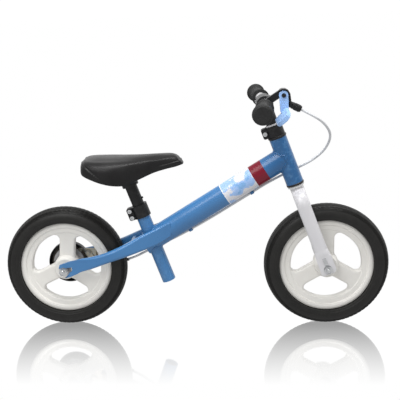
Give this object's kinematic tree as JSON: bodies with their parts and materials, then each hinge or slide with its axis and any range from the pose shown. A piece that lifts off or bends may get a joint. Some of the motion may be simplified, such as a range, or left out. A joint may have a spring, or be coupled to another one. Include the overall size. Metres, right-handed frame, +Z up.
{
  "type": "balance bike",
  "caption": "Child's two-wheeled balance bike with no pedals, moulded spoked wheels, padded saddle, steerable fork and a hand lever that works a rear band brake.",
  "frame": {"origin": "on the ground, midway between the two wheel hubs, in the middle plane of the bike", "axes": "+X forwards, +Y to the rider's left, +Z up"},
  "size_m": [0.81, 0.3936, 0.5073],
  "materials": {
    "frame_paint": "gloss blue paint",
    "fork_paint": "pearl white paint",
    "black_paint": "satin black paint",
    "bar_paint": "gloss white paint",
    "rim_plastic": "off-white moulded nylon",
    "tyre_rubber": "black foam rubber tyre",
    "grip_rubber": "soft black rubber",
    "black_plastic": "moulded black plastic",
    "white_plastic": "moulded white plastic",
    "lever_plastic": "light blue moulded plastic",
    "steel_bright": "chrome-plated steel",
    "steel_zinc": "yellow zinc-plated steel",
    "steel_plain": "bare steel",
    "band_lining": "steel band with friction lining",
    "cable_jacket": "light grey cable housing",
    "saddle_vinyl": "black grained vinyl"
  },
  "bodies": {
    "frame": {"head_tube": "frame_paint", "main_tube": "frame_paint", "seat_tube": "frame_paint", "right_stay": "frame_paint", "left_stay": "frame_paint", "stay_bridge": "frame_paint", "lower_headset_cup": "black_plastic", "lower_headset_bush": "white_plastic", "upper_headset_cup": "black_plastic", "upper_headset_bush": "white_plastic", "seat_clamp": "black_paint", "seat_clamp_bolts": "steel_bright", "cable_guides": "frame_paint", "brake_cable_housing": "cable_jacket", "brake_cable_wire": "steel_plain", "cable_boot": "grip_rubber", "rear_axle": "steel_bright", "rear_axle_nuts": "steel_bright", "rear_axle_washers": "steel_bright", "rear_axle_spacers": "steel_plain", "brake_cover": "black_paint", "brake_band": "band_lining", "brake_reaction_plate": "steel_zinc", "brake_arm_pivot": "steel_zinc", "brake_return_spring": "steel_plain", "brake_arm_strap": "steel_zinc", "strap_bolt": "steel_bright"},
    "rear_wheel": {"rear_rim": "rim_plastic", "rear_tyre": "tyre_rubber", "rear_hub_bearings": "steel_plain", "brake_drum": "steel_plain"},
    "fork": {"fork_steerer": "fork_paint", "crown_race": "white_plastic", "left_fork_blade": "fork_paint", "right_fork_blade": "fork_paint", "front_axle": "steel_bright", "front_axle_nuts": "steel_bright", "front_tab_washers": "steel_bright", "front_axle_spacers": "steel_plain", "steerer_clamp": "black_paint", "steerer_clamp_bolt": "steel_bright"},
    "front_wheel": {"front_rim": "rim_plastic", "front_tyre": "tyre_rubber", "front_hub_bearings": "steel_plain"},
    "handlebar": {"handlebar_stem": "black_paint", "handlebar": "bar_paint", "left_grip": "grip_rubber", "right_grip": "grip_rubber", "stem_screws": "steel_plain", "brake_perch": "black_plastic", "perch_screw": "steel_plain", "cable_adjuster": "black_plastic", "lever_pivot_pin": "black_paint"},
    "brake_lever": {"brake_lever": "lever_plastic", "cable_nipple": "steel_plain"},
    "brake_arm": {"brake_arm": "steel_zinc", "cable_pinch_bolt": "steel_bright"},
    "saddle": {"seat_post": "black_paint", "saddle_base": "black_plastic", "saddle_cover": "saddle_vinyl"}
  },
  "joints": [
    {"name": "rear_wheel_spin", "type": "hinge", "parent": "frame", "child": "rear_wheel", "pos_m": [-0.275, 0, 0.13], "axis": [0, 1, 0], "continuous": true},
    {"name": "steering", "type": "hinge", "parent": "frame", "child": "fork", "pos_m": [0.275, 0, 0.13], "axis": [-0.3502, 0, 0.9367], "range_deg": [-60, 60], "deforming": ["brake_cable_housing"]},
    {"name": "front_wheel_spin", "type": "hinge", "parent": "fork", "child": "front_wheel", "pos_m": [0.275, 0, 0.13], "axis": [0, 1, 0], "continuous": true},
    {"name": "handlebar_height", "type": "slide", "parent": "fork", "child": "handlebar", "axis": [-0.3502, 0, 0.9367], "range_m": [-0.018, 0.03]},
    {"name": "brake_lever_squeeze", "type": "hinge", "parent": "handlebar", "child": "brake_lever", "pos_m": [0.181, -0.085, 0.4945], "axis": [0, 1, 0], "range_deg": [0, 14], "stiffness_Nm_per_rad": 1.2, "springref_deg": -8.59},
    {"name": "brake_arm_pull", "type": "hinge", "parent": "frame", "child": "brake_arm", "pos_m": [-0.2345, 0.0311, 0.148], "axis": [0, -1, 0], "range_deg": [0, 7], "deforming": ["brake_cable_wire", "brake_return_spring"]},
    {"name": "saddle_height", "type": "slide", "parent": "frame", "child": "saddle", "axis": [-0.3387, 0, 0.9409], "range_m": [-0.009, 0.045]}
  ],
  "couplings": [
    {"joint": "brake_arm_pull", "follows": "brake_lever_squeeze", "ratio": 0.485}
  ]
}
